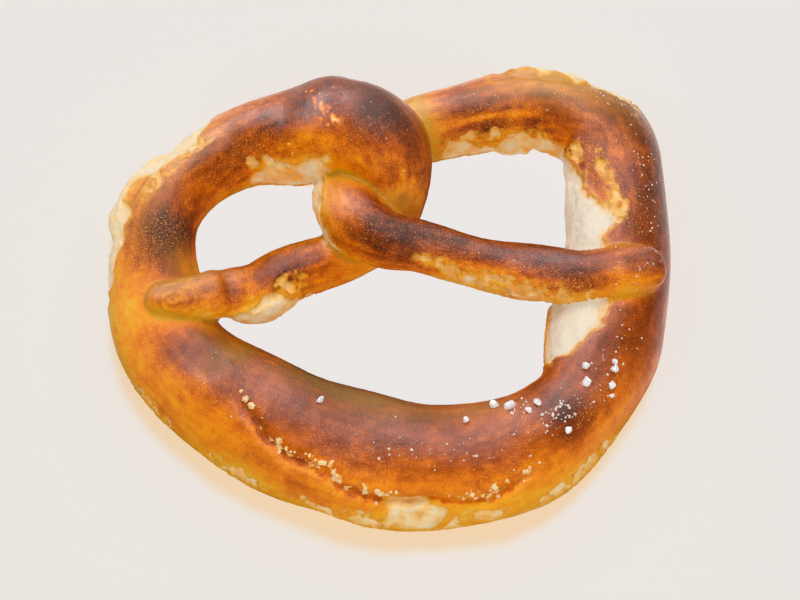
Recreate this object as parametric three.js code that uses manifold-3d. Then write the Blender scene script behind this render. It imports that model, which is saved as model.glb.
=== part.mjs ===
// Soft pretzel, a baked rope of dough lying flat as it came off the tray.
//
// The rope is thick in the belly, thinner round the two lobes and thinnest in the arms. Above the middle
// its two halves cross twice: the left half rides over the right one at the knob and turns back under it,
// and each half ends as an arm that is pressed onto its own side of the belly. The pretzel is one solid,
// with its coarse salt baked on. Millimetres, +Z up, origin under the middle of the outline, at the tray.

import * as THREE from "three";
import { mergeVertices } from "three/addons/utils/BufferGeometryUtils.js";
import Module from "manifold-3d";

const wasm = await Module();
wasm.setup();

const UP = new THREE.Vector3(0, 0, 1);
const { clamp, degToRad, smoothstep } = THREE.MathUtils;

// ---------------------------------------------------------------- driving dimensions

const BELLY_WIDE = 37; // the rope at its thickest, across
const BELLY_TALL = 30; // and upwards, before its underside is flattened
const BELLY_LIFT = 13; // height of its middle line above the tray
const LOBE_TALL = 25;
const LOBE_LIFT = 12;
const ARM_WIDE = 16;
const ARM_TALL = 14.5;
const KNOB_LIFT = 25; // the left half's middle line where it rides over the right one

// ---------------------------------------------------------------- the rope's route

// A station of the rope: its place in plan, the height of its middle, and its size across and upwards.
const station = (x, y, lift, wide, tall) => ({ x, y, lift, wide, tall });

// From the knob round the left lobe, the belly and the right lobe, then under the knob.
const LOOP = [
  station(-12, 50, KNOB_LIFT - 1, 27.5, LOBE_TALL),
  station(-17.5, 50.5, 23, 30, 26),
  station(-26.5, 50.5, 17, 30.5, 26),
  station(-44, 48.5, LOBE_LIFT, 23.5, LOBE_TALL),
  station(-59, 39.5, LOBE_LIFT, 22, 23),
  station(-68.5, 26, LOBE_LIFT, 24.5, LOBE_TALL),
  station(-69, 4, LOBE_LIFT, 27, LOBE_TALL),
  station(-64, -13, BELLY_LIFT, 30, 28),
  station(-48, -29.5, BELLY_LIFT, 34.5, BELLY_TALL),
  station(-21, -43.5, BELLY_LIFT, BELLY_WIDE, BELLY_TALL),
  station(11, -50.5, BELLY_LIFT, 36, BELLY_TALL),
  station(37, -46, BELLY_LIFT, 33.5, BELLY_TALL),
  station(54, -33, BELLY_LIFT, 28, 28),
  station(62, -13, BELLY_LIFT, 33, 28),
  station(66.5, 11.5, BELLY_LIFT, 32, 27),
  station(67, 34.5, LOBE_LIFT, 31, LOBE_TALL),
  station(63, 53, LOBE_LIFT, 29, LOBE_TALL),
  station(46, 61, LOBE_LIFT, 24.5, 24),
  station(31, 60, LOBE_LIFT, 22.5, 23),
  station(8.5, 55, 10, 21.5, 20),
  station(-4.5, 46.5, 10, 20, 19),
  station(-12, 36.5, 13, 19, 19),
];

// From the knob down under the right half, then out to the left as an arm that climbs onto the belly.
const LEFT_ARM = [
  station(-21, 50, KNOB_LIFT - 4, 23, 19),
  station(-11, 50, KNOB_LIFT - 1, 28.5, 24.5),
  station(-2.5, 45, 22.5, 28.5, 24.5),
  station(0.5, 36.5, 16, 23.5, 22),
  station(-3.5, 23, 11, 19.5, 17),
  station(-11, 16.5, 9.5, ARM_WIDE, ARM_WIDE),
  station(-30, 7, 13, ARM_WIDE + 1, ARM_WIDE),
  station(-38.5, 0, 18, 17.5, ARM_TALL),
  station(-48, -2.5, 23, 15, 13),
  station(-57, -4.5, 25.5, 12.5, 11.5),
  station(-65, -5, 25, 11.5, 9),
];

// From the left of the knob over the left half, then out to the right as an arm that climbs onto the belly.
const RIGHT_ARM = [
  station(-14, 31.5, 16, 19, 18),
  station(-10.5, 22.5, 20, 20, 19),
  station(-1, 15.5, 21, 17.5, 17),
  station(9, 13.5, 20, ARM_WIDE, 15),
  station(24.5, 9.5, 18.5, 15, ARM_TALL),
  station(42, 5, 20.5, ARM_WIDE + 1, ARM_TALL),
  station(56.5, 2.5, 25, 15.5, 11.5),
  station(66, 3.5, 26.5, 15, 9.5),
  station(74, 4.5, 26, 13, 8),
];

// Where the drawn outline's middle lies; the part is moved by it, so that its origin is under that middle.
const OUTLINE_MIDDLE = { x: -0.25, y: 2.39 };

// How finely the rope is cut into cross-sections, and how many corners each has.
const LOOP_MESH = { ringStep: 3.45, corners: 28, handOver: 366 };
const ARM_MESH = { ringStep: 2.8, corners: 19 };
const CAP = { rings: 3, reach: 0.42 }; // a rounded end sticks out by this share of the rope's width

// ---------------------------------------------------------------- relief of the crust

// A place on the rope's surface is given by its distance along the rope, in millimetres, and its angle
// round it, in degrees: 0 on the outer side of the loop, 90 on the crest, 180 on the inner side.

// The cut along the belly, which opened in the oven. It rises towards both ends, and wavers.
const CUT = { from: 137, to: 226, lowest: 196, lowestAngle: 44, rise: 44, riseOver: 58 };
const CUT_WAVER = { angle: 3, wave: 4.3 };
const CREST = 90;

function cutAngle(along) {
  const climb = CUT.rise * ((along - CUT.lowest) / CUT.riseOver) ** 2;
  return Math.min(CUT.lowestAngle + climb, CREST) + CUT_WAVER.angle * Math.sin(along / CUT_WAVER.wave);
}

// The crust's height beside the cut, by the angle above it: a swollen lower lip, a groove and a thin
// upper lip.
const CUT_PROFILE = [
  [-60, 0],
  [-32, 1],
  [-7, 0.8],
  [0, -1.5],
  [7, 0.6],
  [22, 0],
];

// Patches of the surface that are swollen (height above 0) or sunk. A torn one has a sunken edge as well,
// where the crust broke off around the pale crumb.
function patch(along, angle, halfLength, halfAngle, height) {
  return { along, angle, halfLength, halfAngle, height };
}
const torn = (...place) => ({ ...patch(...place), edge: -0.7 });

const LOOP_PATCHES = [
  torn(17, 168, 16, 34, 0.5), // under the left of the knob
  torn(66, 27, 11, 28, 1.6), // shoulder of the left lobe
  torn(82, 16, 13, 22, 0), // its left edge
  patch(125, 98, 9, 24, -1.2), // hollow in front of the left arm's end
  torn(195, 20, 12, 25, -0.4), // below the belly's cut
  torn(283, 163, 37, 62, 0.6), // inside of the right lobe, under the arm
  patch(361, 198, 8, 34, 2.2), // lump under the right lobe's top
  torn(351, 36, 12, 28, 0.9), // outside of the right lobe's top
];
const LEFT_ARM_PATCHES = [torn(89, 172, 13, 46, 0.8)];
const RIGHT_ARM_PATCHES = [torn(57, 10, 14, 36, 0)];

// The left arm is creased across where it climbs onto the belly, and stands up in a nub beyond that.
const ARM_CREASE = { along: 101.5, halfWidth: 2.4, height: -1.2 };
const ARM_NUB = { along: 105.5, halfWidth: 3.5, height: 0.8 };

// 1 at distance 0, falling smoothly to 0 at halfWidth on either side.
const ridge = (distance, halfWidth) => 1 - smoothstep(Math.abs(distance), 0, halfWidth);

// The slow, uneven swelling of a hand-rolled rope.
function swelling(along, angle) {
  const around = degToRad(angle);
  return (
    0.45 * Math.sin(along / 9.5 + 1.3) * Math.cos(2 * around + along / 31) +
    0.35 * Math.sin(along / 5.7 + 3 * around)
  );
}

// The turn from one direction round the rope to another, from -180 to 180 degrees.
const turnBetween = (from, to) => ((to - from + 540) % 360) - 180;

function patchRelief(patches, along, angle) {
  let relief = 0;
  for (const { edge = 0, ...place } of patches) {
    const offAngle = turnBetween(place.angle, angle);
    const reach = Math.hypot((along - place.along) / place.halfLength, offAngle / place.halfAngle);
    relief += place.height * (1 - smoothstep(reach, 0.5, 1.05)) + edge * ridge(reach - 1, 0.25);
  }
  return relief;
}

function cutRelief(along, angle) {
  const above = turnBetween(cutAngle(along), angle);
  const next = CUT_PROFILE.findIndex(([at]) => at > above);
  if (next < 1) return 0;
  const [low, lowHeight] = CUT_PROFILE[next - 1];
  const [high, highHeight] = CUT_PROFILE[next];
  const fade = smoothstep(along, CUT.from, CUT.from + 12) * (1 - smoothstep(along, CUT.to - 12, CUT.to));
  return fade * (lowHeight + ((highHeight - lowHeight) * (above - low)) / (high - low));
}

function loopRelief(along, angle) {
  return swelling(along, angle) + patchRelief(LOOP_PATCHES, along, angle) + cutRelief(along, angle);
}

function leftArmRelief(along, angle) {
  const onTop = Math.max(0, Math.sin(degToRad(angle)));
  let relief = 0.7 * swelling(along, angle) + patchRelief(LEFT_ARM_PATCHES, along, angle);
  for (const fold of [ARM_CREASE, ARM_NUB]) {
    relief += onTop * fold.height * ridge(along - fold.along, fold.halfWidth);
  }
  return relief;
}

function rightArmRelief(along, angle) {
  return 0.7 * swelling(along, angle) + patchRelief(RIGHT_ARM_PATCHES, along, angle);
}

// ---------------------------------------------------------------- making solids of the rope

// The rope through its stations. frame(along) gives its middle, directions and size at a distance along
// it.
function ropeThrough(stations) {
  const middles = new THREE.CatmullRomCurve3(stations.map((s) => new THREE.Vector3(s.x, s.y, s.lift)));
  const sizes = new THREE.CatmullRomCurve3(stations.map((s) => new THREE.Vector3(s.wide, s.tall, 0)));
  const length = middles.getLength();
  function frame(along) {
    const t = middles.getUtoTmapping(clamp(along / length, 0, 1));
    const ahead = middles.getTangent(t);
    const outward = new THREE.Vector3().crossVectors(ahead, UP).normalize();
    const upward = new THREE.Vector3().crossVectors(outward, ahead);
    const size = sizes.getPoint(t);
    return { middle: middles.getPoint(t), ahead, outward, upward, wide: size.x, tall: size.y };
  }
  return { length, frame };
}

// The angles of a cross-section's corners. Three of them follow the lead angle: the line and its lips.
const LIP_ANGLE = 7;

function cornerAngles(count, leadAngle) {
  const lip = LIP_ANGLE;
  const others = count - 3;
  const apart = (360 - 2 * lip) / (others + 1);
  const spread = Array.from({ length: others }, (_, i) => lip + (i + 1) * apart);
  return [0, lip, ...spread, 360 - lip].map((offset) => leadAngle + offset);
}

// One cross-section as a list of corners. shrink and push are for the rings of a rounded end.
function crossSection(rope, along, { corners, lead, relief }, shrink = 1, push = 0) {
  const { middle, ahead, outward, upward, wide, tall } = rope.frame(along);
  const centre = middle.clone().addScaledVector(ahead, push * wide);
  return cornerAngles(corners, lead(along)).map((angle) => {
    const across = Math.cos(degToRad(angle));
    const above = Math.sin(degToRad(angle));
    const lifted = relief(along, ((angle % 360) + 360) % 360);
    return centre
      .clone()
      .addScaledVector(outward, shrink * across * (wide / 2 + lifted))
      .addScaledVector(upward, shrink * above * (tall / 2 + lifted));
  });
}

// A closed mesh over a stretch of the rope. An end is rounded off, or flat where the next stretch joins.
function stretchOf(rope, shape, { from = 0, to = rope.length, roundStart = true, roundEnd = true } = {}) {
  const steps = Math.round((to - from) / shape.ringStep);
  const rings = Array.from({ length: steps + 1 }, (_, i) => {
    return crossSection(rope, from + ((to - from) * i) / steps, shape);
  });
  const roundOff = (along, direction) => {
    const capRings = [];
    for (let i = 1; i < CAP.rings; i++) {
      const turn = ((i / CAP.rings) * Math.PI) / 2;
      const push = direction * CAP.reach * Math.sin(turn);
      capRings.push(crossSection(rope, along, shape, Math.cos(turn), push));
    }
    return capRings;
  };
  if (roundStart) rings.unshift(...roundOff(from, -1).reverse());
  if (roundEnd) rings.push(...roundOff(to, 1));

  const first = rope.frame(from);
  const last = rope.frame(to);
  const startPole = first.middle.addScaledVector(first.ahead, roundStart ? -CAP.reach * first.wide : 0);
  const endPole = last.middle.addScaledVector(last.ahead, roundEnd ? CAP.reach * last.wide : 0);
  const points = [...rings.flat(), startPole, endPole];

  const corners = shape.corners;
  const startIndex = rings.length * corners;
  const triangles = [];
  for (let corner = 0; corner < corners; corner++) {
    const next = (corner + 1) % corners;
    for (let ring = 0; ring + 1 < rings.length; ring++) {
      const near = ring * corners;
      const far = near + corners;
      triangles.push(near + corner, far + corner, far + next);
      triangles.push(near + corner, far + next, near + next);
    }
    const lastRing = (rings.length - 1) * corners;
    triangles.push(startIndex, corner, next, startIndex + 1, lastRing + next, lastRing + corner);
  }
  const geometry = new THREE.BufferGeometry().setFromPoints(points);
  geometry.setIndex(triangles);
  return geometry;
}

// ---------------------------------------------------------------- joining and cutting

function solidFrom(geometry) {
  const bare = geometry.clone();
  bare.deleteAttribute("normal");
  bare.deleteAttribute("uv");
  const merged = mergeVertices(bare, 1e-4);
  const vertProperties = new Float32Array(merged.attributes.position.array);
  const triVerts = new Uint32Array(merged.index.array);
  return new wasm.Manifold(new wasm.Mesh({ numProp: 3, vertProperties, triVerts }));
}

function geometryFrom(solid) {
  const mesh = solid.getMesh();
  const geometry = new THREE.BufferGeometry();
  geometry.setAttribute("position", new THREE.BufferAttribute(mesh.vertProperties, 3));
  geometry.setIndex(new THREE.BufferAttribute(mesh.triVerts, 1));
  geometry.computeVertexNormals();
  return geometry;
}

// The rope's stretches in one solid, with everything below the tray planed off.
function bakedRope() {
  const loop = ropeThrough(LOOP);
  const loopShape = { ...LOOP_MESH, lead: cutAngle, relief: loopRelief };
  const straightLead = () => 0;
  const stretches = [
    stretchOf(loop, loopShape, { to: LOOP_MESH.handOver, roundEnd: false }),
    stretchOf(loop, loopShape, { from: LOOP_MESH.handOver, roundStart: false }),
    stretchOf(ropeThrough(LEFT_ARM), { ...ARM_MESH, lead: straightLead, relief: leftArmRelief }),
    stretchOf(ropeThrough(RIGHT_ARM), { ...ARM_MESH, lead: straightLead, relief: rightArmRelief }),
  ].map(solidFrom);
  const tray = new THREE.BoxGeometry(300, 300, 40).translate(0, 0, -20);
  return stretches.reduce((whole, stretch) => whole.add(stretch)).subtract(solidFrom(tray));
}

// ---------------------------------------------------------------- coarse salt

// Each grain's place in plan and its size. Most of it landed on the right of the belly.
const SALT = [
  [33.8, -36.2, 3], [63.3, -25.9, 2.7], [29.2, -35.7, 2.6], [41.5, -35.7, 2.5], [55.4, -29.8, 2.5],
  [55.3, -25.2, 2.4], [62.5, -30.5, 2.3], [-19.1, -35, 2.3], [21.3, -40.6, 2.2], [50, -43.7, 2.2],
  [38.8, -38.2, 1.8], [62.5, -33.2, 1.7], [63.5, -23.6, 1.6],
];
const SALT_PROUD = 0.2; // a grain's middle stands this share of its size above the crust

function saltGrain([x, y, size], index, crust) {
  const ray = new THREE.Raycaster(new THREE.Vector3(x, y, 100), new THREE.Vector3(0, 0, -1));
  const [hit] = ray.intersectObject(crust);
  const turn = 2.4 * index;
  const grain = new THREE.IcosahedronGeometry(size / 2, 0);
  grain.scale(1.15, 0.9, 0.85);
  grain.applyMatrix4(new THREE.Matrix4().makeRotationFromEuler(new THREE.Euler(turn, 1.7 * turn, turn)));
  grain.translate(x, y, hit.point.z + SALT_PROUD * size);
  return solidFrom(grain);
}

// ---------------------------------------------------------------- the part

const rope = bakedRope();
const bothSides = new THREE.MeshBasicMaterial({ side: THREE.DoubleSide });
const bareCrust = new THREE.Mesh(geometryFrom(rope), bothSides);
const grains = SALT.map((grain, index) => saltGrain(grain, index, bareCrust));
const salted = grains.reduce((whole, grain) => whole.add(grain), rope);

const pretzel = new THREE.Mesh(
  geometryFrom(salted).translate(-OUTLINE_MIDDLE.x, -OUTLINE_MIDDLE.y, 0),
  new THREE.MeshStandardMaterial({ color: 0xa4551a, roughness: 0.35, metalness: 0 }),
);
pretzel.name = "pretzel";

const part = new THREE.Group();
part.add(pretzel);

export default part;
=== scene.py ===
import math
import random

import bpy
import numpy as np
from mathutils import Euler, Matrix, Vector
from mathutils.bvhtree import BVHTree


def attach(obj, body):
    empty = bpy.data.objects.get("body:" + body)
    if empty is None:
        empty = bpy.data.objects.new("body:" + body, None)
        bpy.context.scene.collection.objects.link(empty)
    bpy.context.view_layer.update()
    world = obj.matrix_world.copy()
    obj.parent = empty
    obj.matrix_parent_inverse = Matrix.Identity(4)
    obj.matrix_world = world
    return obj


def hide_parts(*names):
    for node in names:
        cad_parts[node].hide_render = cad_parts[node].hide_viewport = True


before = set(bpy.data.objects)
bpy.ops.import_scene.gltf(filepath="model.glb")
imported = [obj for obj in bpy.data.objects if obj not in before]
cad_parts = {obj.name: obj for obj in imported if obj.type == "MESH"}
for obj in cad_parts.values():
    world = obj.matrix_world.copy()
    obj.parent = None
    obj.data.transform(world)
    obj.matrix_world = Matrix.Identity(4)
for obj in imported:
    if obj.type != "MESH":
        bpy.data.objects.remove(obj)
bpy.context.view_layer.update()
print("frame loaded")

mm = 0.001


# small helpers

def pickOnly(*objects):
    bpy.ops.object.select_all(action="DESELECT")
    for thing in objects:
        thing.select_set(True)
    bpy.context.view_layer.objects.active = objects[0]


def vertexPlaces(thing):
    places = np.empty(len(thing.data.vertices) * 3)
    thing.data.vertices.foreach_get("co", places)
    return places.reshape(-1, 3)


def placeVertices(thing, places):
    thing.data.vertices.foreach_set("co", places.ravel())
    thing.data.update()


def vertexNormals(thing):
    normals = np.empty(len(thing.data.vertices) * 3)
    thing.data.vertex_normals.foreach_get("vector", normals)
    return normals.reshape(-1, 3)


def storeOnVertices(thing, name, values):
    layer = thing.data.attributes.new(name, "FLOAT", "POINT")
    layer.data.foreach_set("value", values.astype(np.float32))


def smoothstep(value, low, high):
    share = np.clip((value - low) / (high - low), 0, 1)
    return share * share * (3 - 2 * share)


def ridge(distance, halfWidth):  # 1 on the line, 0 at halfWidth from it
    return 1 - smoothstep(np.abs(distance), 0, halfWidth)


def turnedTo(angle, middle):  # the angle between two directions round the rope, -180 to 180
    return (angle - middle + 180) % 360 - 180


def lumps(places, size, seed, depth=1):  # smooth noise with lumps of this size in metres, about -1 to 1
    table = np.random.RandomState(int(seed * 100) % 9973)
    order = table.permutation(512)
    slopes = table.normal(size=(512, 3))
    slopes /= np.linalg.norm(slopes, axis=1)[:, None]
    values = np.zeros(len(places))
    for octave in range(depth):
        spots = places * (2 ** octave / size) + 37.3 * (octave + 1)
        cell = np.floor(spots).astype(int)
        part = spots - cell
        fade = part ** 3 * (part * (part * 6 - 15) + 10)
        for corner in np.ndindex(2, 2, 2):
            x, y, z = ((cell + corner) % 512).T
            slope = slopes[order[(order[(order[x] + y) % 512] + z) % 512]]
            share = np.prod(np.where(corner, fade, 1 - fade), axis=1)
            values += 1.6 * share * (slope * (part - corner)).sum(1) / 2 ** octave
    return values


# how the rope is rolled, joined and searched
rope = {
    "outlineMiddle": (-0.25, 2.39), "samples": 1500, "ringStep": 1.3, "corners": 84, "capReach": 0.42,
    "voxel": 0.66 * mm, "smoothing": 2, "faceLimit": 196000, "searchStep": 1.2, "searchChunk": 8000,
}
routes = {  # x, y, height of the middle, width and thickness, in millimetres
    "loop": [
        (-12, 50, 24, 27.5, 25), (-17.5, 50.5, 23, 30, 26), (-26.5, 50.5, 17, 30.5, 26),
        (-44, 48.5, 12, 23.5, 25), (-59, 39.5, 12, 22, 23), (-68.5, 26, 12, 24.5, 25),
        (-69, 4, 12, 27, 25), (-64, -13, 13, 30, 28), (-48, -29.5, 13, 34.5, 30),
        (-21, -43.5, 13, 37, 30), (11, -50.5, 13, 36, 30), (37, -46, 13, 33.5, 30),
        (54, -33, 13, 28, 28), (62, -13, 13, 33, 28), (66.5, 11.5, 13, 32, 27),
        (67, 34.5, 12, 31, 25), (63, 53, 12, 29, 25), (46, 61, 12, 24.5, 24),
        (31, 60, 12, 22.5, 23), (8.5, 55, 10, 21.5, 20), (-4.5, 46.5, 10, 20, 19),
        (-12, 36.5, 13, 19, 19),
    ],
    "leftArm": [
        (-21, 50, 21, 23, 19), (-11, 50, 24, 28.5, 24.5), (-2.5, 45, 22.5, 28.5, 24.5),
        (0.5, 36.5, 16, 23.5, 22), (-3.5, 23, 11, 19.5, 17), (-11, 16.5, 9.5, 16, 16),
        (-30, 7, 13, 17, 16), (-38.5, 0, 18, 17.5, 14.5), (-48, -2.5, 23, 15, 13),
        (-57, -4.5, 25.5, 12.5, 11.5), (-65, -5, 25, 11.5, 9),
    ],
    "rightArm": [
        (-14, 31.5, 16, 19, 18), (-10.5, 22.5, 20, 20, 19), (-1, 15.5, 21, 17.5, 17),
        (9, 13.5, 20, 16, 15), (24.5, 9.5, 18.5, 15, 14.5), (42, 5, 20.5, 17, 14.5),
        (56.5, 2.5, 25, 15.5, 11.5), (66, 3.5, 26.5, 15, 9.5), (74, 4.5, 26, 13, 8),
    ],
}


def throughPoints(points, shares):  # centripetal Catmull-Rom curve
    points = np.array(points, float)
    points = np.vstack([2 * points[0] - points[1], points, 2 * points[-1] - points[-2]])
    spots = shares * (len(points) - 3)
    left = np.minimum(spots.astype(int), len(points) - 4)
    part = (spots - left)[:, None]
    corner = [points[left + step] for step in range(4)]
    gap = [np.linalg.norm(corner[i + 1] - corner[i], axis=1)[:, None] ** 0.5 for i in range(3)]
    gap[1][gap[1] < 1e-4] = 1  # a size that repeats
    gap[0], gap[2] = [np.where(side < 1e-4, gap[1], side) for side in (gap[0], gap[2])]
    leave = (corner[1] - corner[0]) / gap[0] - (corner[2] - corner[0]) / (gap[0] + gap[1])
    leave = (leave + (corner[2] - corner[1]) / gap[1]) * gap[1]
    arrive = (corner[2] - corner[1]) / gap[1] - (corner[3] - corner[1]) / (gap[1] + gap[2])
    arrive = (arrive + (corner[3] - corner[2]) / gap[2]) * gap[1]
    rise = corner[2] - corner[1]
    cubic = leave + arrive - 2 * rise
    return corner[1] + part * (leave + part * (3 * rise - 2 * leave - arrive + part * cubic))


def followRoute(stations):
    stations = np.array(stations, float)
    stations[:, :2] -= rope["outlineMiddle"]
    shares = np.linspace(0, 1, rope["samples"])
    middle = throughPoints(stations[:, :3], shares)
    sizes = throughPoints(np.c_[stations[:, 3:], np.zeros(len(stations))], shares)
    steps = np.linalg.norm(np.diff(middle, axis=0), axis=1)
    ahead = np.gradient(middle, axis=0)
    ahead /= np.linalg.norm(ahead, axis=1)[:, None]
    outward = np.cross(ahead, (0, 0, 1))
    outward /= np.linalg.norm(outward, axis=1)[:, None]
    upward = np.cross(outward, ahead)
    table = np.hstack([middle, ahead, outward, upward, sizes[:, :2]])
    return {"along": np.r_[0, np.cumsum(steps)], "table": table, "length": steps.sum()}


def ropeAt(route, along):  # middle, ahead, outward, upward, wide, tall
    table = np.stack([np.interp(along, route["along"], column) for column in route["table"].T], -1)
    return table[..., :3], table[..., 3:6], table[..., 6:9], table[..., 9:12], table[..., 12], table[..., 13]


strands = {name: followRoute(stations) for name, stations in routes.items()}


# slow relief of the crust, in millimetres, by distance along the rope and angle round it
# (0 on the outer side of the loop, 90 on the crest, 180 on the inner side)
cut = {"start": 137, "end": 226, "lowest": 196, "lowestAngle": 44, "rise": 44, "riseOver": 58,
       "waver": 3, "wave": 4.3, "fade": 12}
cutHeights = [(-60, 0), (-32, 1), (-7, 0.8), (0, -1.5), (7, 0.6), (22, 0)]  # by the angle above the cut
swollen = {  # along, angle, half length, half angle, height, edge
    "loop": [
        (17, 168, 16, 34, 0.5, -0.7), (66, 20, 13, 34, 2.4, -0.7), (82, 16, 13, 22, 0, -0.7),
        (125, 98, 10, 20, -0.5, 0), (195, 20, 12, 25, -0.4, -0.7), (283, 163, 37, 62, 0.6, -0.7),
        (361, 198, 8, 34, 2.2, 0), (351, 36, 12, 28, 0.9, -0.7),
    ],
    "leftArm": [(89, 172, 13, 46, 0.8, -0.7)],
    "rightArm": [(57, 10, 14, 36, 0, -0.7)],
}
wave = {"slow": 0.45, "quick": 0.35, "arms": 0.7}
armCrease = {"along": 101.5, "halfWidth": 2.4, "depth": -1.2,
             "nubAlong": 105.5, "nubHalfWidth": 3.5, "nub": 0.8}


def cutAngle(along):
    climb = cut["rise"] * ((along - cut["lowest"]) / cut["riseOver"]) ** 2
    jag = np.sin(along / cut["wave"]) + 0.6 * np.sin(along / 1.7 + 2) * np.sin(along / 5.3)
    return np.minimum(cut["lowestAngle"] + climb, 90) + cut["waver"] * jag


def cutFade(along):
    start = smoothstep(along, cut["start"], cut["start"] + cut["fade"])
    return start * (1 - smoothstep(along, cut["end"] - cut["fade"], cut["end"]))


def slowRelief(name, along, angle):
    around = np.radians(angle)
    height = wave["slow"] * np.sin(along / 9.5 + 1.3) * np.cos(2 * around + along / 31)
    height += wave["quick"] * np.sin(along / 5.7 + 3 * around)
    if name != "loop":
        height *= wave["arms"]
    for at, middle, halfLength, halfAngle, swell, edge in swollen[name]:
        reach = np.hypot((along - at) / halfLength, turnedTo(angle, middle) / halfAngle)
        height += swell * (1 - smoothstep(reach, 0.5, 1.05)) + edge * ridge(reach - 1, 0.25)
    if name == "loop":
        above = turnedTo(angle, cutAngle(along))
        height += cutFade(along) * np.interp(above, *zip(*cutHeights))
    if name == "leftArm":
        onTop = np.maximum(0, np.sin(around))
        height += onTop * armCrease["depth"] * ridge(along - armCrease["along"], armCrease["halfWidth"])
        height += onTop * armCrease["nub"] * ridge(along - armCrease["nubAlong"], armCrease["nubHalfWidth"])
    return height


def aboveRope(name, along, angle, lift):  # a place this far above the rope's surface, in metres
    middle, ahead, outward, upward, wide, tall = ropeAt(strands[name], along)
    across = np.cos(np.radians(angle)) * (wide / 2 + lift)
    above = np.sin(np.radians(angle)) * (tall / 2 + lift)
    return (middle + outward * across[..., None] + upward * above[..., None]) * mm


def rollStrand(name):  # a grid rolled round the rope, with rounded ends
    route = strands[name]
    reach = rope["capReach"]
    caps = [reach * width for width in route["table"][[0, -1], 12]]
    span = route["length"] + sum(caps)
    bpy.ops.mesh.primitive_grid_add(
        x_subdivisions=int(span / rope["ringStep"]), y_subdivisions=rope["corners"], size=1, location=(0, 0, 0))
    strand = bpy.context.active_object
    strand.name = name
    flat = vertexPlaces(strand)
    run = (flat[:, 0] + 0.5) * span - caps[0]
    angle = (flat[:, 1] + 0.5) * 360
    along = np.clip(run, 0, route["length"])
    past = np.where(run < 0, run / caps[0], np.maximum(run - route["length"], 0) / caps[1])
    shrink = np.cos(past * math.pi / 2)
    push = reach * np.sin(past * math.pi / 2)
    middle, ahead, outward, upward, wide, tall = ropeAt(route, along)
    lift = slowRelief(name, along, angle % 360)
    across = shrink * np.cos(np.radians(angle)) * (wide / 2 + lift)
    above = shrink * np.sin(np.radians(angle)) * (tall / 2 + lift)
    places = middle + ahead * (push * wide)[:, None] + outward * across[:, None] + upward * above[:, None]
    placeVertices(strand, places * mm)
    bpy.ops.object.mode_set(mode="EDIT")
    bpy.ops.mesh.select_all(action="SELECT")
    bpy.ops.mesh.remove_doubles(threshold=0.02 * mm)
    bpy.ops.mesh.normals_make_consistent(inside=False)
    bpy.ops.object.mode_set(mode="OBJECT")
    return strand


def applyModifier(thing, kind, **settings):
    modifier = thing.modifiers.new(kind.lower(), kind)
    for key, value in settings.items():
        setattr(modifier, key, value)
    pickOnly(thing)
    bpy.ops.object.modifier_apply(modifier=modifier.name)


rolled = [rollStrand(name) for name in strands]
pickOnly(*rolled)
bpy.ops.object.join()
dough = bpy.context.active_object
dough.name = dough.data.name = "baked_crust"
applyModifier(dough, "REMESH", mode="VOXEL", voxel_size=rope["voxel"], adaptivity=0)
applyModifier(dough, "SMOOTH", factor=0.5, iterations=rope["smoothing"])
print("dough joined:", len(dough.data.polygons), "faces")


# where each vertex is on the rope. The loop is searched in two halves, because its ends pass close by
searched = [("loop", 0, 215), ("loop", 215, 999), ("leftArm", 0, 999), ("rightArm", 0, 999)]
runsOn = [(0, 1, -99, 260), (1, 0, 170, 999), (0, 2, -99, 24), (2, 0, -99, 16)]  # other, own, along from and to
touching = (1.02, 1.28)  # in the next strand's radii


def findOnRope(places):
    found = []
    for name, low, high in searched:
        route = strands[name]
        spots = np.arange(low, min(high, route["length"]), rope["searchStep"])
        middle, ahead, outward, upward, wide, tall = ropeAt(route, spots)
        along, angle, reach = (np.empty(len(places)) for _ in range(3))
        for start in range(0, len(places), rope["searchChunk"]):
            some = slice(start, start + rope["searchChunk"])
            gap = places[some, None] / mm - middle[None]
            across = (gap * outward).sum(-1) / (wide / 2)
            above = (gap * upward).sum(-1) / (tall / 2)
            forward = (gap * ahead).sum(-1)
            far = across ** 2 + above ** 2 + (forward / (rope["capReach"] * wide)) ** 2
            best = far.argmin(1)
            rows = np.arange(len(best))
            along[some] = spots[best] + forward[rows, best]
            angle[some] = np.degrees(np.arctan2(above[rows, best], across[rows, best])) % 360
            reach[some] = np.sqrt(far[rows, best])
        found.append((along, angle, reach))
    return [np.stack(each) for each in zip(*found)]


places = vertexPlaces(dough)
alongs, angles, reaches = findOnRope(places)
own = reaches.argmin(0)
rows = np.arange(len(places))
along, angle = alongs[own, rows], angles[own, rows]
strandOf = np.array([name for name, low, high in searched])[own]
radius = np.zeros(len(places))
for name in strands:
    on = strandOf == name
    radius[on] = np.sum(ropeAt(strands[name], along[on])[4:], 0) / 4

# how close the next strand is: 1 where two strands touch. A strand doesn't touch the one that it runs on into
nowhere = 9
nextReach = reaches.copy()
nextReach[own, rows] = nowhere
for other, mine, low, high in runsOn:
    nextReach[other, (own == mine) & (along > low) & (along < high)] = nowhere
closeness = 1 - smoothstep(nextReach.min(0), *touching)
print("vertices placed on the rope")


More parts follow.
